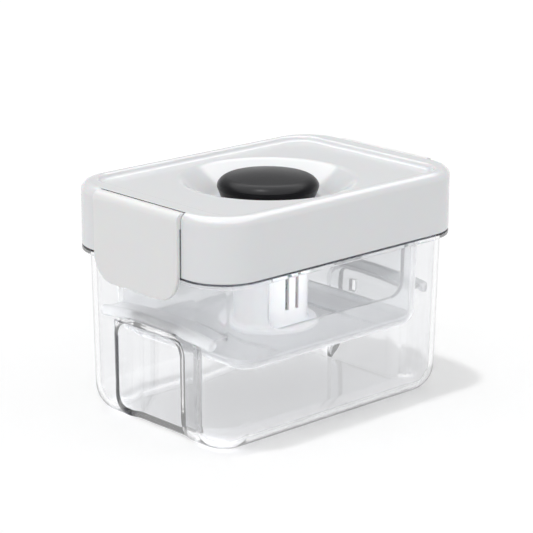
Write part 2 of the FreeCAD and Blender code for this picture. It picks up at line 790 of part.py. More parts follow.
def make_latch_pin():
    """Steel hinge pin of the +X latch."""
    return bar_along_y(pin_radius, hinge_x, hinge_z, pin_half_length)


def save(name, shape):
    """Check one solid and write it as a STEP file."""
    if len(shape.Solids) != 1 or not shape.isValid():
        raise ValueError(name + " is not one valid solid")
    shape.Solids[0].exportStep("parts/" + name + ".step")
    print(name, round(shape.Volume, 1))


os.makedirs("parts", exist_ok=True)
save("outer_container", make_outer_container())
save("drainer_basket", make_drainer_basket())
save("press_plate", make_press_plate())
save("plunger_tube", make_plunger_tube())
save("press_spring", make_press_spring())
save("knob_core", make_knob_core())
save("knob_cap", make_knob_cap())
save("lid_cover", make_lid_cover())
save("lid_liner", make_lid_liner())
save("spring_bridge", make_spring_bridge())
save("guide_bush", make_guide_bush())
right_latch, left_latch = both_ends(make_latch())
save("latch_right", right_latch)
save("latch_left", left_latch)
right_pin, left_pin = both_ends(make_latch_pin())
save("latch_pin_right", right_pin)
save("latch_pin_left", left_pin)
save("liner_screw_1", make_liner_screw(-screw_offset_x, -screw_offset_y))
save("liner_screw_2", make_liner_screw(screw_offset_x, -screw_offset_y))
save("liner_screw_3", make_liner_screw(screw_offset_x, screw_offset_y))
save("liner_screw_4", make_liner_screw(-screw_offset_x, screw_offset_y))
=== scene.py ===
"""Dresses a tofu press: a latched lid with a spring-loaded plunger over a clear box.

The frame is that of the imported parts: X along the long side, Y along the short side, Z
up, and the origin under the middle of the container. The new pieces are sized in
millimetres and made in metres; the finishes and the studio are in metres.
"""
from __future__ import annotations

import logging
import math
from dataclasses import dataclass
from enum import Enum
from typing import Any, Sequence

import bmesh
import bpy
from mathutils import Matrix, Vector


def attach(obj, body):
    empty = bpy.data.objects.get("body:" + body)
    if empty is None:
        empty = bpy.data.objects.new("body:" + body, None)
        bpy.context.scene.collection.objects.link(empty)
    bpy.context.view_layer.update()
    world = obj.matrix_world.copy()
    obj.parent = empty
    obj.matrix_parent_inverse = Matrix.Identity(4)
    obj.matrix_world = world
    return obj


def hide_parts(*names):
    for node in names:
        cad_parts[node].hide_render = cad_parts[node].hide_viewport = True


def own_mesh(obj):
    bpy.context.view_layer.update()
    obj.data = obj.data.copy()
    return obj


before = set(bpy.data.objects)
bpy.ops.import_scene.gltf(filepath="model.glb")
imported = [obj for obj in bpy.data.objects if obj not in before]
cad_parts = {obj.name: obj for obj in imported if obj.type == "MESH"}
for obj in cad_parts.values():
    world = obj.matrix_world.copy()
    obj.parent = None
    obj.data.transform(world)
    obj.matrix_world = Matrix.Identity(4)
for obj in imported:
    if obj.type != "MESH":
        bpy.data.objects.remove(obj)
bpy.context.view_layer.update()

LOG = logging.getLogger("tofu_press")
Pair = tuple[float, float]
Place = tuple[float, float, float]
Colour = tuple[float, float, float]

MM = 0.001
ORIGIN: Place = (0.0, 0.0, 0.0)
WHITE = (1.0, 1.0, 1.0, 1.0)

# In millimetres: how near counts as the same place, and what is welded after a cut.
TOLERANCE = 0.001
WELD = 0.0005

# Segments of a block's corners and foot, of its top edge, and of an arch.
CORNER_STEPS = 24
TOP_STEPS = 8
ARCH_STEPS = 12

# Degrees between two faces past which their edge is shaded as a sharp one, and how
# much a face's area counts in the normals that it shares, out of 100.
SHARP_FROM = 32.0
AREA_WEIGHT = 100

# How deep a moulded grain is, in metres, and how finely it is broken up.
GRAIN_DEPTH = 0.00005
GRAIN_DETAIL = 3.0

# How far a wall has to turn away before it tints a lamp's light.
LAMP_EDGE = 0.6


class Body(Enum):
    """The rigid body that the new pieces ride on."""

    BASE = "base"


class Slot(Enum):
    """The record's material slots for the new pieces, which the script lists but does not use."""

    CLEAR = "clear_plastic"
    FROSTED = "frosted_plastic"
    SPRING = "spring_steel"


class Socket:
    """A value or a colour in a node tree, with arithmetic that adds Math nodes."""

    def __init__(self, tree: "NodeTree", socket: bpy.types.NodeSocket) -> None:
        """Wrap one output socket of a node tree."""
        self.tree = tree
        self.socket = socket

    def _math(self, operation: str, first: Any, second: Any) -> "Socket":
        """Return the output of a new Math node."""
        return self.tree.add("ShaderNodeMath", {"operation": operation}, {0: first, 1: second})

    def __add__(self, other: Any) -> "Socket":
        """Add."""
        return self._math("ADD", self, other)

    def __radd__(self, other: Any) -> "Socket":
        """Add, from the right."""
        return self._math("ADD", other, self)

    def __sub__(self, other: Any) -> "Socket":
        """Subtract."""
        return self._math("SUBTRACT", self, other)

    def __rsub__(self, other: Any) -> "Socket":
        """Subtract from a value."""
        return self._math("SUBTRACT", other, self)

    def __mul__(self, other: Any) -> "Socket":
        """Multiply."""
        return self._math("MULTIPLY", self, other)

    def __rmul__(self, other: Any) -> "Socket":
        """Multiply, from the right."""
        return self._math("MULTIPLY", other, self)

    def clamped(self) -> "Socket":
        """Return the value held between 0 and 1."""
        return self.tree.add("ShaderNodeMath", {"operation": "ADD", "use_clamp": True},
                             {0: self, 1: 0.0})

    def absolute(self) -> "Socket":
        """Return the value without its sign."""
        return self.tree.add("ShaderNodeMath", {"operation": "ABSOLUTE"}, {0: self})

    def at_least(self, other: Any) -> "Socket":
        """Return the larger of two values."""
        return self._math("MAXIMUM", self, other)

    def above(self, other: Any) -> "Socket":
        """Return 1 where the value is above another, and 0 elsewhere."""
        return self._math("GREATER_THAN", self, other)


class NodeTree:
    """Builds the nodes of one material or of the world."""

    def __init__(self, owner: Any) -> None:
        """Start an empty node tree.

        Args:
            owner: the material or the world.
        """
        owner.use_nodes = True
        self.tree = owner.node_tree
        self.tree.nodes.clear()

    def add(self, kind: str, settings: dict[str, Any], inputs: dict[Any, Any],
            output: Any = 0) -> Socket:
        """Add one node.

        Args:
            kind: the node's type name.
            settings: attributes that are set first.
            inputs: values or wrapped sockets, by input name or number.
            output: the name or number of the output to return.

        Returns:
            The wrapped output socket.
        """
        node = self.tree.nodes.new(kind)
        for name, value in settings.items():
            setattr(node, name, value)
        for name, value in inputs.items():
            if isinstance(value, Socket):
                self.tree.links.new(value.socket, node.inputs[name])
            else:
                node.inputs[name].default_value = value
        return Socket(self, node.outputs[output])

    def output(self, surface: Socket, kind: str = "ShaderNodeOutputMaterial") -> None:
        """Add the output node and send a shader to it."""
        node = self.tree.nodes.new(kind)
        self.tree.links.new(surface.socket, node.inputs["Surface"])

    def ray(self, output: str) -> Socket:
        """Return one output of the Light Path node."""
        return self.add("ShaderNodeLightPath", {}, {}, output)

    def coordinates(self, kind: str = "Object") -> Socket:
        """Return coordinates: Object for a material, Generated for the world."""
        return self.add("ShaderNodeTexCoord", {}, {}, kind)

    def along(self, axis: str, kind: str = "Object") -> Socket:
        """Return the X, Y or Z of the coordinates."""
        return self.add("ShaderNodeSeparateXYZ", {}, {"Vector": self.coordinates(kind)}, axis)

    def noise(self, scale: float, detail: float = 2.0, roughness: float = 0.5) -> Socket:
        """Add a noise in Object coordinates.

        Args:
            scale: waves per metre.
            detail: how many finer layers it has.
            roughness: how much the finer layers count.

        Returns:
            The noise, between 0 and 1.
        """
        return self.add("ShaderNodeTexNoise", {}, {
            "Vector": self.coordinates(), "Scale": scale, "Detail": detail,
            "Roughness": roughness})

    def eased(self, value: Socket, ends: Pair, first: Any = 0.0, last: Any = 1.0) -> Socket:
        """Ease from one level to another while a value crosses a range.

        Args:
            value: what is looked at.
            ends: the two ends of its range.
            first: the level below the range.
            last: the level above the range.

        Returns:
            The eased level.
        """
        return self.add("ShaderNodeMapRange", {"interpolation_type": "SMOOTHSTEP"}, {
            "Value": value, "From Min": ends[0], "From Max": ends[1],
            "To Min": first, "To Max": last})

    def grazing(self, low: float) -> Socket:
        """Return 0 where a surface faces the ray, easing from a step up to 1 at its edge."""
        facing = self.add("ShaderNodeLayerWeight", {}, {"Blend": 0.5}, "Facing")
        return self.eased(facing, (low, 1.0))

    def blend_colours(self, amount: Any, first: Any, second: Any) -> Socket:
        """Return a mix of two colours."""
        return self.add("ShaderNodeMix", {"data_type": "RGBA"},
                        {0: amount, 6: first, 7: second}, 2)

    def mix_shaders(self, amount: Any, first: Socket, second: Socket) -> Socket:
        """Return a mix of two shaders."""
        return self.add("ShaderNodeMixShader", {}, {0: amount, 1: first, 2: second})

    def plain(self, kind: str, colour: Colour) -> Socket:
        """Return a shader that takes nothing but a colour."""
        return self.add(kind, {}, {"Color": rgba(colour)})

    def glow(self, strength: Any) -> Socket:
        """Return a white emission."""
        return self.add("ShaderNodeEmission", {}, {"Color": WHITE, "Strength": strength})

    def bump(self, height: Socket, strength: float, distance: float) -> Socket:
        """Return a normal that a height has bent."""
        return self.add("ShaderNodeBump", {}, {
            "Strength": strength, "Distance": distance, "Height": height})


def rgba(colour: Colour) -> tuple[float, float, float, float]:
    """Return a colour with full alpha."""
    return (colour[0], colour[1], colour[2], 1.0)


def scaled(colour: Colour, share: float) -> Colour:
    """Return a colour made darker or lighter by a share."""
    return tuple(part * share for part in colour)


@dataclass(frozen=True)
class MouldedPlastic:
    """An opaque moulded plastic with a faint waviness and a fine grain."""

    name: str
    colour: Colour
    roughness: float
    tint: float = 0.015
    base_share: float = 0.9
    cloud_scale: float = 34.0
    cloud_share: float = 0.14
    grain_scale: float = 2600.0
    grain_share: float = 0.06
    grain_bump: float = 0.05
    refraction: float = 1.5
    subsurface: float = 0.2
    subsurface_depth: float = 0.002

    def material(self) -> bpy.types.Material:
        """Make the material.

        Returns:
            The finished material.
        """
        result = bpy.data.materials.new(self.name)
        tree = NodeTree(result)
        cloud = tree.noise(self.cloud_scale)
        grain = tree.noise(self.grain_scale, GRAIN_DETAIL)
        darker = scaled(self.colour, 1.0 - self.tint)
        roughness = (self.roughness * self.base_share + cloud * (self.roughness * self.cloud_share)
                     + grain * (self.roughness * self.grain_share))
        tree.output(tree.add("ShaderNodeBsdfPrincipled", {}, {
            "Base Color": tree.blend_colours(cloud, rgba(darker), rgba(self.colour)),
            "Roughness": roughness, "Normal": tree.bump(grain, self.grain_bump, GRAIN_DEPTH),
            "IOR": self.refraction, "Subsurface Weight": self.subsurface,
            "Subsurface Scale": self.subsurface_depth}))
        return result


@dataclass(frozen=True)
class ClearPlastic:
    """A clear moulded plastic that lets lamps through, with dark edges of painted shade."""

    name: str = "clear_wall"
    colour: Colour = (0.955, 0.958, 0.965)
    # Painted shade: the glass takes this dark colour where its surface runs along the ray, at
    # every edge and silhouette.
    edge_colour: Colour = (0.05, 0.052, 0.07)
    edge_from: float = 0.66
    shadow_edge: Colour = (0.6, 0.6, 0.62)
    # Painted shade: a dark band on the rim flange under the lid's hem, between these heights.
    painted_hem_shade: Colour = (0.02, 0.02, 0.03)
    lip_heights: Pair = (0.087, 0.0874)
    # Painted shade: a dark band round the mouth of each recess, past mouth_from along X.
    painted_mouth_shade: Colour = (0.2, 0.2, 0.23)
    mouth_from: float = 0.0784
    mouth_width: Pair = (0.0240, 0.0248)
    mouth_height: Pair = (0.0535, 0.0543)
    cloud_scale: float = 22.0
    cloud_roughness: float = 0.012
    refraction: float = 1.5
    # A ray deeper than trapped_from ends in a painted glow instead of passing on.
    trapped_from: float = 12.5
    trapped_glow: float = 0.25

    def material(self) -> bpy.types.Material:
        """Make the material, in which a ray that stays trapped ends in a painted glow, an even
        grey light.

        Returns:
            The finished material.
        """
        result = bpy.data.materials.new(self.name)
        tree = NodeTree(result)
        # Painted shade at grazing edges: the colour turns dark where the surface runs along the
        # ray.
        edge = tree.grazing(self.edge_from)
        colour = tree.blend_colours(edge, rgba(self.colour), rgba(self.edge_colour))
        glass = tree.add("ShaderNodeBsdfPrincipled", {}, {
            "Base Color": self._painted_shade(tree, colour),
            "Roughness": tree.noise(self.cloud_scale) * self.cloud_roughness,
            "IOR": self.refraction, "Transmission Weight": 1.0})
        # Painted light: a trapped ray ends in an even glow.
        trapped = tree.ray("Ray Depth").above(self.trapped_from)
        glass = tree.mix_shaders(trapped, glass, tree.glow(self.trapped_glow))
        tree.output(lamp_pass(tree, glass, self.colour, self.shadow_edge))
        return result

    def _painted_shade(self, tree: NodeTree, colour: Socket) -> Socket:
        """Paint shade on the rim flange under the lid's hem and round the mouth of each recess.

        Args:
            tree: the material's node tree.
            colour: the colour of everything else.

        Returns:
            The colour with the bands of painted shade in it.
        """
        height = tree.along("Z")
        # Painted shade on the flange under the lid's hem.
        lip = tree.add("ShaderNodeMapRange", {}, {
            "Value": height, "From Min": self.lip_heights[0], "From Max": self.lip_heights[1]})
        colour = tree.blend_colours(lip, colour, rgba(self.painted_hem_shade))
        # Painted shade round the mouth of each recess.
        across = tree.along("Y").absolute()
        in_width = 1.0 - across.above(self.mouth_width[1])
        in_height = 1.0 - height.above(self.mouth_height[1])
        on_side = across.above(self.mouth_width[0])
        band = on_side.at_least(height.above(self.mouth_height[0]))
        at_end = tree.along("X").absolute().above(self.mouth_from)
        return tree.blend_colours(in_width * in_height * band * at_end, colour,
                                  rgba(self.painted_mouth_shade))


def lamp_pass(tree: NodeTree, shader: Socket, colour: Colour, edge_colour: Colour) -> Socket:
    """Return a see-through shader that rays from lamps pass straight through.

    Args:
        tree: the material's node tree.
        shader: what every other ray meets.
        colour: what the lamp's light is tinted with where it meets the wall squarely.
        edge_colour: what it is tinted with where it runs along the wall.

    Returns:
        The mixed shader.
    """
    square = tree.plain("ShaderNodeBsdfTransparent", colour)
    along = tree.plain("ShaderNodeBsdfTransparent", edge_colour)
    clear = tree.mix_shaders(tree.grazing(LAMP_EDGE), square, along)
    return tree.mix_shaders(tree.ray("Is Shadow Ray"), shader, clear)


@dataclass(frozen=True)
class FrostedPlastic:
    """A milky translucent plastic, which may be milkier past a distance along X."""

    name: str
    colour: Colour = (0.98, 0.987, 0.997)
    milk: Colour = (0.95, 0.955, 0.965)
    milk_share: float = 0.22
    matt_share: float = 0.5
    edge_share: float = 0.6
    edge_from: float = 0.5
    roughness: float = 0.07
    base_share: float = 0.92
    cloud_scale: float = 40.0
    cloud_share: float = 0.16
    grain_scale: float = 1800.0
    grain_bump: float = 0.06
    refraction: float = 1.49
    thick_from: float = 0.0
    thick_step: float = 0.0004
    thick_share: float = 0.42
    lamp_loss: float = 0.3

    def material(self) -> bpy.types.Material:
        """Make the material.

        Returns:
            The finished material.
        """
        result = bpy.data.materials.new(self.name)
        tree = NodeTree(result)
        cloud = tree.noise(self.cloud_scale)
        grain = tree.noise(self.grain_scale, GRAIN_DETAIL)
        roughness = self.roughness * self.base_share + cloud * (self.roughness * self.cloud_share)
        glass = tree.add("ShaderNodeBsdfPrincipled", {}, {
            "Base Color": rgba(self.colour), "Roughness": roughness, "IOR": self.refraction,
            "Transmission Weight": 1.0,
            "Normal": tree.bump(grain, self.grain_bump, GRAIN_DEPTH)})
        through = tree.plain("ShaderNodeBsdfTranslucent", self.milk)
        matt = tree.plain("ShaderNodeBsdfDiffuse", self.milk)
        milky = tree.mix_shaders(self.matt_share, through, matt)
        share = tree.grazing(self.edge_from) * self.edge_share + self.milk_share
        if self.thick_from > 0.0:
            ends = (self.thick_from - self.thick_step, self.thick_from + self.thick_step)
            share = tree.eased(tree.along("X").absolute(), ends, share, self.thick_share)
        passed = scaled(self.colour, 1.0 - self.lamp_loss * self.milk_share)
        tree.output(lamp_pass(tree, tree.mix_shaders(share, glass, milky), passed, passed))
        return result


@dataclass(frozen=True)
class SoftRubber:
    """A soft black rubber with a fine matt grain."""

    name: str = "knob_rubber"
    colour: Colour = (0.004, 0.004, 0.005)
    lighter_share: float = 1.5
    least_roughness: float = 0.25
    cloud_roughness: float = 0.1
    cloud_scale: float = 90.0
    grain_scale: float = 3200.0
    grain_detail: float = 4.0
    grain_roughness: float = 0.6
    grain_bump: float = 0.25
    grain_depth: float = 0.00008
    refraction: float = 1.5
    gloss: float = 0.11

    def material(self) -> bpy.types.Material:
        """Make the material.

        Returns:
            The finished material.
        """
        result = bpy.data.materials.new(self.name)
        tree = NodeTree(result)
        cloud = tree.noise(self.cloud_scale, self.grain_detail)
        grain = tree.noise(self.grain_scale, self.grain_detail, self.grain_roughness)
        lighter = scaled(self.colour, self.lighter_share)
        tree.output(tree.add("ShaderNodeBsdfPrincipled", {}, {
            "Base Color": tree.blend_colours(cloud, rgba(self.colour), rgba(lighter)),
            "Roughness": self.least_roughness + cloud * self.cloud_roughness,
            "Normal": tree.bump(grain, self.grain_bump, self.grain_depth),
            "IOR": self.refraction, "Specular IOR Level": self.gloss}))
        return result


@dataclass(frozen=True)
class Steel:
    """A drawn steel wire or pin."""

    name: str
    colour: Colour = (0.62, 0.63, 0.65)
    darker_share: float = 0.85
    roughness: float = 0.24
    cloud_roughness: float = 0.08
    cloud_scale: float = 400.0

    def material(self) -> bpy.types.Material:
        """Make the material.

        Returns:
            The finished material.
        """
        result = bpy.data.materials.new(self.name)
        tree = NodeTree(result)
        cloud = tree.noise(self.cloud_scale, GRAIN_DETAIL)
        darker = scaled(self.colour, self.darker_share)
        tree.output(tree.add("ShaderNodeBsdfPrincipled", {}, {
            "Base Color": tree.blend_colours(cloud, rgba(darker), rgba(self.colour)),
            "Roughness": self.roughness + cloud * self.cloud_roughness, "Metallic": 1.0}))
        return result


def add_object(name: str, data: Any) -> bpy.types.Object:
    """Put a new object into the scene.

    Args:
        name: the object's name.
        data: its mesh, camera or light.

    Returns:
        The object.
    """
    result = bpy.data.objects.new(name, data)
    bpy.context.scene.collection.objects.link(result)
    return result


def as_mesh(name: str, shape: bmesh.types.BMesh) -> bpy.types.Mesh:
    """Turn a bmesh into a mesh, and free it.

    Args:
        name: the mesh's name.
        shape: the bmesh.

    Returns:
        The mesh.
    """
    mesh = bpy.data.meshes.new(name)
    shape.to_mesh(mesh)
    shape.free()
    return mesh


def turn(shape: bmesh.types.BMesh, angle: float, axis: str, centre: Place = ORIGIN) -> None:
    """Turn a whole bmesh about an axis through a centre, by an angle in radians."""
    bmesh.ops.rotate(shape, verts=shape.verts, cent=centre, matrix=Matrix.Rotation(angle, 3, axis))


def disc(radius: float, sides: int, place: Place) -> bmesh.types.BMesh:
    """Make a round section in an XZ plane.

    Args:
        radius: its radius.
        sides: how many sides stand for the circle.
        place: where its middle is.

    Returns:
        The section, as one face.
    """
    shape = bmesh.new()
    bmesh.ops.create_circle(shape, cap_ends=True, segments=sides, radius=radius)
    turn(shape, math.pi / 2.0, "X")
    bmesh.ops.translate(shape, verts=shape.verts, vec=place)
    return shape


class Workpiece:
    """A mesh in the making: a bmesh that is cut, joined and rounded, in millimetres."""

    def __init__(self, shape: bmesh.types.BMesh) -> None:
        """Hold a bmesh."""
        self.shape = shape

    @classmethod
    def block(cls, foot: Pair, top: Pair, corner: float, levels: Pair,
              foot_rounding: float = 0.0, top_rounding: float = 0.0) -> "Workpiece":
        """Make an upright block with rounded corners that may widen towards its top.

        Args:
            foot: half length and half width at the foot.
            top: half length and half width at the top.
            corner: radius of the upright corners.
            levels: heights of the foot and the top.
            foot_rounding: radius along the foot's edge.
            top_rounding: radius along the top's edge.

        Returns:
            The block.
        """
        shape = bmesh.new()
        bmesh.ops.create_cube(shape, size=2.0)
        for vert in shape.verts:
            half = top if vert.co.z > 0.0 else foot
            level = levels[1] if vert.co.z > 0.0 else levels[0]
            vert.co = Vector((vert.co.x * half[0], vert.co.y * half[1], level))
        piece = cls(shape)
        piece.round_edges(piece.upright_edges(), corner, CORNER_STEPS)
        if foot_rounding > 0.0:
            piece.round_edges(piece.level_edges(levels[0]), foot_rounding, CORNER_STEPS)
        if top_rounding > 0.0:
            piece.round_edges(piece.level_edges(levels[1]), top_rounding, TOP_STEPS)
        return piece

    @classmethod
    def box(cls, low: Place, high: Place) -> "Workpiece":
        """Make a box.

        Args:
            low: its lowest corner.
            high: the opposite corner.

        Returns:
            The box.
        """
        shape = bmesh.new()
        bmesh.ops.create_cube(shape, size=2.0)
        for vert in shape.verts:
            vert.co = Vector([high[axis] if vert.co[axis] > 0.0 else low[axis]
                              for axis in range(3)])
        return cls(shape)

    @classmethod
    def arch(cls, half_width: float, levels: Pair, corner: float, reach: Pair,
             deep_rounding: float = 0.0) -> "Workpiece":
        """Make a bar along X with rounded shoulders, and a deep end that may be rounded.

        Args:
            half_width: half the width along Y.
            levels: heights of the foot and the crown.
            corner: radius of the shoulders.
            reach: the deep and the open end along X.
            deep_rounding: radius round the deep end.

        Returns:
            The bar.
        """
        piece = cls.box((reach[0], -half_width, levels[0]), (reach[1], half_width, levels[1]))
        piece.round_edges(piece.level_edges(levels[1], "y"), corner, ARCH_STEPS)
        if deep_rounding > 0.0:
            deep = [edge for edge in piece.shape.edges
                    if all(vert.co.x < reach[0] + TOLERANCE for vert in edge.verts)
                    and any(vert.co.z > levels[0] + TOLERANCE for vert in edge.verts)]
            piece.round_edges(deep, deep_rounding, ARCH_STEPS)
        return piece

    def repeated(self, places: Sequence[Place]) -> "Workpiece":
        """Copy the piece to several places. The piece itself is used up.

        Args:
            places: how far each copy is moved.

        Returns:
            One piece that holds all the copies.
        """
        single = as_mesh("single", self.shape)
        shape = bmesh.new()
        for place in places:
            start = len(shape.verts)
            shape.from_mesh(single)
            shape.verts.ensure_lookup_table()
            bmesh.ops.translate(shape, verts=shape.verts[start:], vec=place)
        bpy.data.meshes.remove(single)
        return Workpiece(shape)

    def upright_edges(self) -> list[bmesh.types.BMEdge]:
        """Return the edges that climb."""
        return [edge for edge in self.shape.edges
                if abs(edge.verts[0].co.z - edge.verts[1].co.z) >= TOLERANCE]

    def level_edges(self, level: float, constant: str = "z") -> list[bmesh.types.BMEdge]:
        """Find the edges at one height.

        Args:
            level: the height.
            constant: the axis along which an edge may not run.

        Returns:
            The edges.
        """
        return [edge for edge in self.shape.edges
                if all(abs(vert.co.z - level) < TOLERANCE for vert in edge.verts)
                and abs(getattr(edge.verts[0].co, constant)
                        - getattr(edge.verts[1].co, constant)) < TOLERANCE]

    def round_edges(self, edges: Sequence[bmesh.types.BMEdge], radius: float, steps: int) -> None:
        """Round edges off.

        Args:
            edges: the edges.
            radius: the rounding's radius.
            steps: its segments.
        """
        bmesh.ops.bevel(self.shape, geom=list(edges), offset=radius, offset_type="OFFSET",
                        segments=steps, profile=0.5, affect="EDGES", material=-1,
                        clamp_overlap=False)

    def turned_end(self) -> "Workpiece":
        """Copy the piece to the other end.

        Returns:
            The copy.
        """
        other = self.shape.copy()
        turn(other, math.pi, "Z")
        return Workpiece(other)

    def combine(self, tool: "Workpiece", operation: str) -> None:
        """Cut another piece away, or join it on.

        Args:
            tool: the other piece, which is used up.
            operation: the Boolean modifier's operation.
        """
        host = add_object("host", as_mesh("host", self.shape))
        other = add_object("tool", as_mesh("tool", tool.shape))
        modifier = host.modifiers.new("combine", "BOOLEAN")
        modifier.solver = "EXACT"
        modifier.operation = operation
        modifier.object = other
        evaluated = host.evaluated_get(bpy.context.evaluated_depsgraph_get())
        result = bpy.data.meshes.new_from_object(evaluated)
        self.shape = bmesh.new()
        self.shape.from_mesh(result)
        bmesh.ops.remove_doubles(self.shape, verts=self.shape.verts, dist=WELD)
        bmesh.ops.dissolve_degenerate(self.shape, edges=self.shape.edges, dist=WELD)
        for item in (host, other):
            mesh = item.data
            bpy.data.objects.remove(item)
            bpy.data.meshes.remove(mesh)
        bpy.data.meshes.remove(result)

    def finish(self, name: str, material: bpy.types.Material) -> bpy.types.Object:
        """Make the finished object, in metres and smoothly shaded between sharp edges.

        Args:
            name: the object's name.
            material: its finish.

        Returns:
            The object.
        """
        bmesh.ops.scale(self.shape, verts=self.shape.verts, vec=(MM, MM, MM))
        for face in self.shape.faces:
            face.smooth = True
        for edge in self.shape.edges:
            edge.smooth = edge.calc_face_angle(0.0) < math.radians(SHARP_FROM)
        piece = add_object(name, as_mesh(name, self.shape))
        piece.data.materials.append(material)
        weighted = piece.modifiers.new("even_shading", "WEIGHTED_NORMAL")
        weighted.keep_sharp = True
        weighted.weight = AREA_WEIGHT
        LOG.info("made %s with %d faces", name, len(piece.data.polygons))
        return piece


@dataclass
class ClearContainer:
    """The clear outer box with a rim flange and a finger recess in each short end."""

    foot: Pair = (79.5, 53.15)
    top: Pair = (80.75, 54.4)
    rim_level: float = 88.0
    corner: float = 19.0
    wall: float = 2.5
    floor: float = 3.0
    foot_rounding: float = 14.6
    hollow_excess: float = 5.0
    flange_half: Pair = (85.0, 58.65)
    flange_corner: float = 23.4
    flange_thickness: float = 2.8
    flange_edge: float = 0.9
    recess_half_width: float = 24.0
    recess_levels: Pair = (-5.0, 53.5)
    recess_reach: Pair = (67.2, 95.0)
    recess_corner: float = 8.0
    recess_inner: float = 4.0
    mouth_margin: float = 0.5
    mouth_sharpness: float = 50.0
    mouth_rounding: float = 0.8
    mouth_steps: int = 4

    def build(self, material: bpy.types.Material) -> bpy.types.Object:
        """Build the container.

        Args:
            material: its finish.

        Returns:
            The finished object.
        """
        slope = (self.top[0] - self.foot[0]) / self.rim_level
        body_top = self.rim_level - self.flange_thickness / 2.0
        body = Workpiece.block(self.foot, tuple(half + slope * body_top for half in self.foot),
                               self.corner, (0.0, body_top), self.foot_rounding)
        hollow = self._hollow(slope)
        for part, growth in ((body, 0.0), (hollow, self.wall)):
            part.combine(self._recess(growth), "DIFFERENCE")
            part.combine(self._recess(growth).turned_end(), "DIFFERENCE")
        body.round_edges(self._mouth_edges(body), self.mouth_rounding, self.mouth_steps)
        flange_foot = self.rim_level - self.flange_thickness
        flange = Workpiece.block(self.flange_half, self.flange_half, self.flange_corner,
                                 (flange_foot, self.rim_level), self.flange_edge, self.flange_edge)
        body.combine(flange, "UNION")
        body.combine(hollow, "DIFFERENCE")
        return body.finish("clear_container", material)

    def _hollow(self, slope: float) -> Workpiece:
        """Make the inner space, which widens so that the wall keeps its thickness.

        Args:
            slope: how much the outside widens over its height.

        Returns:
            The space, without the recesses.
        """
        top = self.rim_level + self.hollow_excess
        spread = slope * (top - self.floor) * self.rim_level / (self.rim_level - self.floor)
        inner = tuple(half - self.wall for half in self.foot)
        return Workpiece.block(inner, tuple(half + spread for half in inner),
                               self.corner - self.wall, (self.floor, top),
                               self.foot_rounding - self.wall)

    def _recess(self, growth: float) -> Workpiece:
        """Make the space of the finger recess at +X.

        Args:
            growth: how much it is grown on every side.

        Returns:
            The space.
        """
        return Workpiece.arch(self.recess_half_width + growth,
                              (self.recess_levels[0], self.recess_levels[1] + growth),
                              self.recess_corner + growth,
                              (self.recess_reach[0] - growth, self.recess_reach[1]),
                              self.recess_inner + growth)

    def _mouth_edges(self, body: Workpiece) -> list[bmesh.types.BMEdge]:
        """Find the edges where the recesses break through the end walls.

        Args:
            body: the outside with the recesses cut.

        Returns:
            The edges.
        """
        deep = self.recess_reach[0] + self.recess_inner + self.mouth_margin
        mouth = []
        for edge in body.shape.edges:
            places = [vert.co for vert in edge.verts]
            at_end = min(abs(place.x) for place in places) > deep
            inside = max(abs(place.y) for place in places) < self.recess_half_width + TOLERANCE
            above = min(place.z for place in places) > self.mouth_margin
            low = max(place.z for place in places) < self.recess_levels[1] + TOLERANCE
            sharp = edge.calc_face_angle(0.0) > math.radians(self.mouth_sharpness)
            if at_end and inside and above and low and sharp:
                mouth.append(edge)
        return mouth


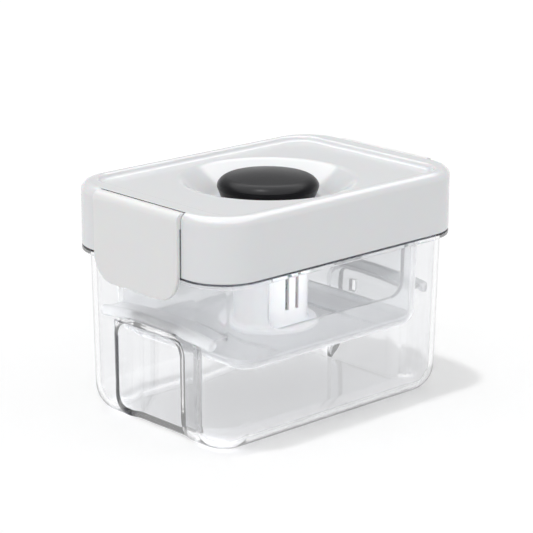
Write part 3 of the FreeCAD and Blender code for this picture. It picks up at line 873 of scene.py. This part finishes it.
@dataclass
class DrainerBasket:
    """The milky basket with drain slots, cut-out long walls and an arched tab at each end."""

    half: Pair = (63.0, 50.0)
    draft: float = 0.7
    corner: float = 12.0
    wall: float = 2.4
    floor: float = 2.3
    foot_level: float = 38.3
    rim_level: float = 85.2
    foot_rounding: float = 9.6
    hollow_excess: float = 5.0
    window_half: Pair = (46.5, 60.0)
    window_levels: Pair = (57.7, 95.0)
    window_corner: float = 8.0
    slot_half: Pair = (6.0, 1.2)
    slot_flat: float = 0.01
    slot_excess: float = 1.0
    slot_steps: int = 6
    slot_counts: tuple[int, int] = (6, 4)
    slot_pitch: Pair = (16.5, 17.0)
    spout_half: Pair = (70.0, 2.2)
    spout_levels: Pair = (45.8, 52.3)
    tab_tip: float = 76.0
    tab_half_width: float = 42.0
    tab_crown: float = 59.7
    tab_rise: float = 2.9
    sweep_steps: int = 24
    bead_radius: float = 2.75
    bead_sides: int = 36
    bead_end_rounding: float = 2.6
    bead_end_steps: int = 8
    bead_overhang: float = 3.0
    shelf_root: float = 61.1
    shelf_thickness: float = 2.3
    shelf_drop: float = 0.7
    notch_half_width: float = 28.1
    notch_levels: Pair = (0.0, 56.0)
    notch_corner: float = 12.1
    notch_reach: Pair = (63.1, 77.0)

    def build(self, material: bpy.types.Material) -> bpy.types.Object:
        """Build the basket.

        Args:
            material: its finish.

        Returns:
            The finished object.
        """
        body = Workpiece.block(tuple(half - self.draft for half in self.half), self.half,
                               self.corner, (self.foot_level, self.rim_level), self.foot_rounding)
        tab = self._tab()
        body.combine(tab.turned_end(), "UNION")
        body.combine(tab, "UNION")
        body.combine(self._hollow(), "DIFFERENCE")
        window = self._opening(self.window_half, self.window_levels)
        sill_ends = window.level_edges(self.window_levels[0], "x")
        window.round_edges(sill_ends, self.window_corner, ARCH_STEPS)
        body.combine(window, "DIFFERENCE")
        body.combine(self._slots(), "DIFFERENCE")
        body.combine(self._opening(self.spout_half, self.spout_levels), "DIFFERENCE")
        return body.finish("frosted_basket", material)

    @staticmethod
    def _opening(half: Pair, levels: Pair) -> Workpiece:
        """Return a box about the Z axis, from its half sizes and its levels."""
        return Workpiece.box((-half[0], -half[1], levels[0]), (half[0], half[1], levels[1]))

    def _hollow(self) -> Workpiece:
        """Make the basket's inner space.

        Returns:
            The space.
        """
        level = self.foot_level + self.floor
        above = self.rim_level + self.hollow_excess
        top = tuple(half - self.wall for half in self.half)
        spread = self.draft * (above - level) / (self.rim_level - level)
        low = tuple(half - self.draft for half in top)
        return Workpiece.block(low, tuple(half + spread for half in low), self.corner - self.wall,
                               (level, above), self.foot_rounding - self.wall)

    def _slots(self) -> Workpiece:
        """Make the spaces of the drain slots.

        Returns:
            All the spaces, in one piece.
        """
        slot = self._opening(self.slot_half, (self.foot_level - self.slot_excess,
                                              self.foot_level + self.floor + self.slot_excess))
        slot.round_edges(slot.upright_edges(), self.slot_half[1] - self.slot_flat, self.slot_steps)
        places = [((column - (self.slot_counts[0] - 1) / 2.0) * self.slot_pitch[0],
                   (row - (self.slot_counts[1] - 1) / 2.0) * self.slot_pitch[1], 0.0)
                  for column in range(self.slot_counts[0]) for row in range(self.slot_counts[1])]
        return slot.repeated(places)

    def _tab(self) -> Workpiece:
        """Make the tab at +X: an arched shelf with a round bead, notched over the recess.

        Returns:
            The tab.
        """
        bead_x = self.tab_tip - self.bead_radius
        section = disc(self.bead_radius, self.bead_sides,
                       (bead_x, 0.0, self.tab_crown - self.bead_radius))
        bead = self._arched(section, self.tab_half_width)
        end_faces = [face for face in bead.shape.faces if len(face.verts) == self.bead_sides]
        ends = [edge for face in end_faces for edge in face.edges]
        bead.round_edges(ends, self.bead_end_rounding, self.bead_end_steps)
        shelf = bmesh.new()
        bmesh.ops.create_grid(shelf, x_segments=1, y_segments=1, size=1.0)
        top = self.tab_crown - self.shelf_drop
        for vert in shelf.verts:
            vert.co = Vector((bead_x if vert.co.x > 0.0 else self.shelf_root, 0.0,
                              top if vert.co.y > 0.0 else top - self.shelf_thickness))
        bead.combine(self._arched(shelf, self.tab_half_width - self.bead_overhang), "UNION")
        bead.combine(Workpiece.arch(self.notch_half_width, self.notch_levels, self.notch_corner,
                                    self.notch_reach), "DIFFERENCE")
        return bead

    def _arched(self, section: bmesh.types.BMesh, half_width: float) -> Workpiece:
        """Sweep a section in the XZ plane along the tab's arch.

        Args:
            section: the section at the crown.
            half_width: half the length of the sweep.

        Returns:
            The bar.
        """
        radius = (self.tab_half_width ** 2 + self.tab_rise ** 2) / (2.0 * self.tab_rise)
        centre = (0.0, 0.0, self.tab_crown - radius)
        half_angle = math.asin(half_width / radius)
        turn(section, -half_angle, "X", centre)
        bmesh.ops.spin(section, geom=section.verts[:] + section.edges[:] + section.faces[:],
                       cent=centre, axis=(1.0, 0.0, 0.0), dvec=ORIGIN, angle=2.0 * half_angle,
                       steps=self.sweep_steps, use_duplicate=False)
        bmesh.ops.recalc_face_normals(section, faces=section.faces)
        return Workpiece(section)


@dataclass
class PressSpring:
    """The compression spring with closed ends, built at rest; the real one shortens as the plunger
    rises.
    """

    radius: float = 13.3
    wire_radius: float = 0.7
    foot: float = 45.0
    seat: float = 97.5
    end_rises: Pair = (0.0, 1.7)
    middle_half_turns: int = 10
    travel: float = 40.0
    sides: int = 14
    steps: int = 18

    def build(self, material: bpy.types.Material) -> bpy.types.Object:
        """Build the spring at rest, one half turn after another.

        Args:
            material: its finish.

        Returns:
            The finished object.
        """
        height = self.seat - self.foot - 2.0 * self.wire_radius
        middle = (height - 2.0 * sum(self.end_rises)) / self.middle_half_turns
        level = self.foot + self.wire_radius
        shape = disc(self.wire_radius, self.sides, (self.radius, 0.0, level))
        last = shape.verts[:] + shape.edges[:] + shape.faces[:]
        side = 1.0
        rises = (*self.end_rises, *[middle] * self.middle_half_turns, *reversed(self.end_rises))
        for rise in rises:
            axis = Vector((side * rise / 2.0, 0.0, self.radius)).normalized()
            turned = bmesh.ops.spin(shape, geom=last, cent=(0.0, 0.0, level + rise / 2.0),
                                    axis=axis, dvec=ORIGIN, angle=math.pi, steps=self.steps,
                                    use_duplicate=False)
            last = turned["geom_last"]
            level += rise
            side = -side
        bmesh.ops.recalc_face_normals(shape, faces=shape.faces)
        return Workpiece(shape).finish("press_coil", material)


def dress_node(name: str, material: bpy.types.Material) -> None:
    """Give a carried-over CAD node its finish.

    Args:
        name: the node's name.
        material: the finish.
    """
    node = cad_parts[name]
    if not node.material_slots:
        node.data.materials.append(material)
    for slot in node.material_slots:
        slot.material = material
    LOG.info("dressed %s", name)


@dataclass
class Studio:
    """The floor, the lights and the camera."""

    bounces: int = 32
    glossy_bounces: int = 12
    camera_place: Place = (-0.7200, -0.7678, 0.3765)
    camera_target: Place = (0.00162, 0.00258, 0.0699)
    camera_roll: float = 0.28
    camera_reach: float = 100.0
    lens: float = 145.9
    sensor: float = 36.0
    floor_half: float = 14.0
    floor_drop: float = 0.00005
    floor_colour: Colour = (0.8, 0.8, 0.8)
    floor_glow: float = 0.27
    backdrop_top: Pair = (0.5, 0.62)
    ceiling_level: float = 0.5
    overhead_zone: Pair = (0.6, 0.68)
    overhead_level: float = 4.0
    side_level: float = 0.6
    side_zone: Pair = (0.1, 0.2)
    scattered_from: float = 0.5
    inside_walls: Pair = (3.5, 8.5)
    inside_level: float = 4.6
    inside_floor_glow: float = 2.7
    deep_from: float = 6.5
    deep_share: float = 0.75
    right_shade: float = 0.8
    behind_wall: Pair = (0.5, 3.5)
    behind_wall_level: float = 0.15
    sky_level: float = 0.56
    left_glow: float = 0.26
    front_glow: float = 0.25
    sun_level: float = 0.88
    sun_angle: float = 4.0
    sun_slope: float = 0.25

    def build(self) -> None:
        """Build the whole studio."""
        scene = bpy.context.scene
        scene.view_settings.view_transform = "Standard"
        scene.cycles.max_bounces = self.bounces
        scene.cycles.transmission_bounces = self.bounces
        scene.cycles.glossy_bounces = self.glossy_bounces
        scene.cycles.transparent_max_bounces = self.bounces
        self._camera()
        self._floor()
        self._world()
        self._lamp()

    def _camera(self) -> None:
        """Place the camera."""
        data = bpy.data.cameras.new("camera")
        data.lens = self.lens
        data.sensor_width = self.sensor
        data.clip_end = self.camera_reach
        camera = add_object("camera", data)
        place = Vector(self.camera_place)
        aim = (Vector(self.camera_target) - place).to_track_quat("-Z", "Y").to_matrix().to_4x4()
        roll = Matrix.Rotation(math.radians(self.camera_roll), 4, "Z")
        camera.matrix_world = Matrix.Translation(place) @ aim @ roll
        bpy.context.scene.camera = camera

    def _floor(self) -> None:
        """Make the pale floor, which shows as white where it is fully lit."""
        shape = bmesh.new()
        bmesh.ops.create_grid(shape, x_segments=1, y_segments=1, size=self.floor_half)
        bmesh.ops.translate(shape, verts=shape.verts, vec=(0.0, 0.0, -self.floor_drop))
        floor = add_object("floor", as_mesh("floor", shape))
        material = bpy.data.materials.new("floor")
        tree = NodeTree(material)
        glow = self._inside(tree) * self.inside_floor_glow + self.floor_glow
        matt = tree.plain("ShaderNodeBsdfDiffuse", self.floor_colour)
        lit = tree.glow(self._seen(tree) * glow)
        tree.output(tree.add("ShaderNodeAddShader", {}, {0: matt, 1: lit}))
        floor.data.materials.append(material)

    @staticmethod
    def _seen(tree: NodeTree) -> Socket:
        """Return 1 for rays that show the surroundings: camera, glossy and transmission."""
        return (tree.ray("Is Camera Ray") + tree.ray("Is Glossy Ray")
                + tree.ray("Is Transmission Ray")).clamped()

    def _gathered(self, tree: NodeTree, walls: Pair) -> Socket:
        """Pick out the light that a piece gathers through clear surfaces.

        Args:
            tree: the node tree that asks.
            walls: the fewest and the most surfaces that the light has passed.

        Returns:
            1 for such light, and 0 for any other.
        """
        passed = tree.ray("Transmission Depth")
        scattered = tree.ray("Diffuse Depth").above(self.scattered_from)
        return scattered * passed.above(walls[0]) * (1.0 - passed.above(walls[1]))

    def _inside(self, tree: NodeTree) -> Socket:
        """Return 1 for light that reaches an inner piece, and less where it came deeper."""
        deep = tree.ray("Transmission Depth").above(self.deep_from) * (1.0 - self.deep_share)
        return self._gathered(tree, self.inside_walls) * (1.0 - deep)

    def _world(self) -> None:
        """Make the pale surroundings: white where they show, softer where they light."""
        world = bpy.data.worlds.new("studio")
        bpy.context.scene.world = world
        tree = NodeTree(world)
        sideways = tree.along("X", "Generated")
        height = tree.along("Z", "Generated")
        to_left = (sideways * -1.0).at_least(0.0)
        to_right = sideways.at_least(0.0)
        to_front = (tree.along("Y", "Generated") * -1.0).at_least(0.0)
        lighting = to_left * self.left_glow + to_front * self.front_glow + self.sky_level
        backdrop = tree.eased(height, self.backdrop_top, 1.0, self.ceiling_level)
        overhead = tree.eased(height, self.overhead_zone, 0.0, self.overhead_level)
        beside = tree.eased(height, self.side_zone, 0.0, 1.0 - self.side_level)
        glossy = tree.ray("Is Glossy Ray")
        shown = backdrop * (1.0 - beside * glossy) + overhead * glossy
        inside = self._inside(tree)
        inside_light = (1.0 - to_right * self.right_shade) * self.inside_level
        shown = shown * (1.0 - inside) + inside * inside_light
        shaded = self._gathered(tree, self.behind_wall)
        shown = shown * (1.0 - shaded) + shaded * self.behind_wall_level
        seen = self._seen(tree)
        strength = seen * shown + (1.0 - seen) * lighting
        light = tree.add("ShaderNodeBackground", {}, {"Color": WHITE, "Strength": strength})
        tree.output(light, "ShaderNodeOutputWorld")

    def _lamp(self) -> None:
        """Hang the lamp that gives the crisp shadow."""
        data = bpy.data.lights.new("overhead", "SUN")
        data.energy = self.sun_level
        data.angle = math.radians(self.sun_angle)
        lamp = add_object("overhead", data)
        direction = Vector((self.sun_slope, 0.0, -1.0))
        lamp.rotation_euler = direction.to_track_quat("-Z", "Y").to_euler()


def dress_nodes() -> None:
    """Give every carried-over CAD node its finish."""
    white = MouldedPlastic("white_gloss", (0.82, 0.83, 0.845), roughness=0.16).material()
    satin = MouldedPlastic("white_satin", (0.84, 0.843, 0.846), roughness=0.34).material()
    # The tube's white is lighter than the lid's. This is partly a whiter plastic and partly
    # painted light, standing in for light that reaches the inside of the box only dimly.
    bright = MouldedPlastic("white_tube", (0.93, 0.935, 0.94), roughness=0.25).material()
    bush = MouldedPlastic("bush", (0.7, 0.7, 0.68), roughness=0.35).material()
    plate = FrostedPlastic("frosted_plate", milk_share=0.5, edge_share=0.3).material()
    rubber = SoftRubber().material()
    pin = Steel("pin", (0.6, 0.6, 0.6), roughness=0.3).material()
    finishes = {
        "press_plate": plate, "plunger_tube": bright, "knob_core": white, "knob_cap": rubber,
        "lid_cover": white, "lid_liner": white, "spring_bridge": white, "guide_bush": bush,
        "latch_right": satin, "latch_left": satin, "latch_pin_right": pin, "latch_pin_left": pin,
        "liner_screw_1": pin, "liner_screw_2": pin, "liner_screw_3": pin, "liner_screw_4": pin,
    }
    for name, finish in finishes.items():
        dress_node(name, finish)


def main() -> None:
    """Build and dress everything in order."""
    logging.basicConfig(level=logging.INFO, format="%(message)s")
    Studio().build()
    dress_nodes()
    container = ClearContainer().build(ClearPlastic().material())
    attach(container, Body.BASE.value)
    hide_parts("outer_container")
    basket = DrainerBasket().build(FrostedPlastic("frosted_basket", thick_from=0.0707).material())
    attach(basket, Body.BASE.value)
    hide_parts("drainer_basket")
    spring_sizes = PressSpring()
    coil = spring_sizes.build(Steel("spring_wire").material())
    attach(coil, Body.BASE.value)
    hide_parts("press_spring")
    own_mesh(coil)


if __name__ == "__main__":
    main()
